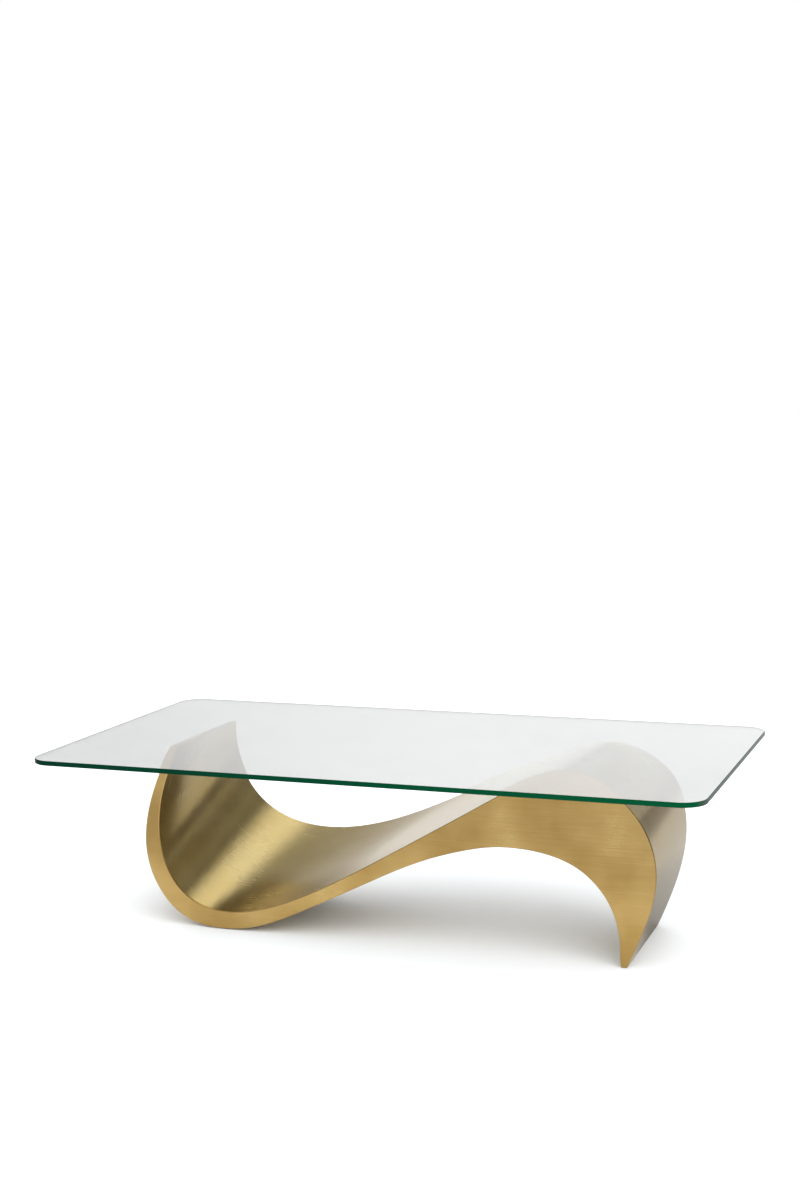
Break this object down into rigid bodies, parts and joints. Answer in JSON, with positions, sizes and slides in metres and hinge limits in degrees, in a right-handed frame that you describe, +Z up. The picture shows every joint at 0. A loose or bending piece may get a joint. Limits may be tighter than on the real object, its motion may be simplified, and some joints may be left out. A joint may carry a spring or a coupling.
{
  "type": "coffee table",
  "caption": "Low rectangular coffee table: a loose clear glass top with rounded corners on a hollow S-shaped base of brushed brass sheet.",
  "frame": {"origin": "on the floor, below the centre of the glass top", "axes": "+X along the table's length towards the foot of the arch, +Y across it from front to rear, +Z up"},
  "size_m": [1.4, 0.75, 0.395],
  "materials": {
    "glass": "clear float glass with green edges, polished",
    "brushed_brass": "satin brushed sheet, clear lacquered",
    "inner_steel": "bare mild steel plate, inside the base",
    "clear_bumper": "clear self-adhesive elastomer",
    "floor_pad": "dark self-adhesive rubber"
  },
  "bodies": {
    "base": {"front_profile_plate": "brushed_brass", "rear_profile_plate": "brushed_brass", "upper_skin": "brushed_brass", "lower_skin": "brushed_brass", "crest_bar": "brushed_brass", "toe_bar": "brushed_brass", "front_former": "inner_steel", "rear_former": "inner_steel", "web_bowl_wall": "inner_steel", "web_bowl_corner": "inner_steel", "web_bowl_floor": "inner_steel", "web_rise_low": "inner_steel", "web_rise_high": "inner_steel", "web_arch_top": "inner_steel", "web_arch_corner": "inner_steel", "web_leg": "inner_steel", "crest_bumpers": "clear_bumper", "arch_bumpers": "clear_bumper", "bowl_floor_pads": "floor_pad", "toe_floor_pads": "floor_pad"},
    "glass": {"glass_top": "glass"}
  },
  "joints": [
    {"name": "glass_lift", "type": "slide", "parent": "base", "child": "glass", "axis": [0, 0, 1], "range_m": [0, 0.15]}
  ]
}
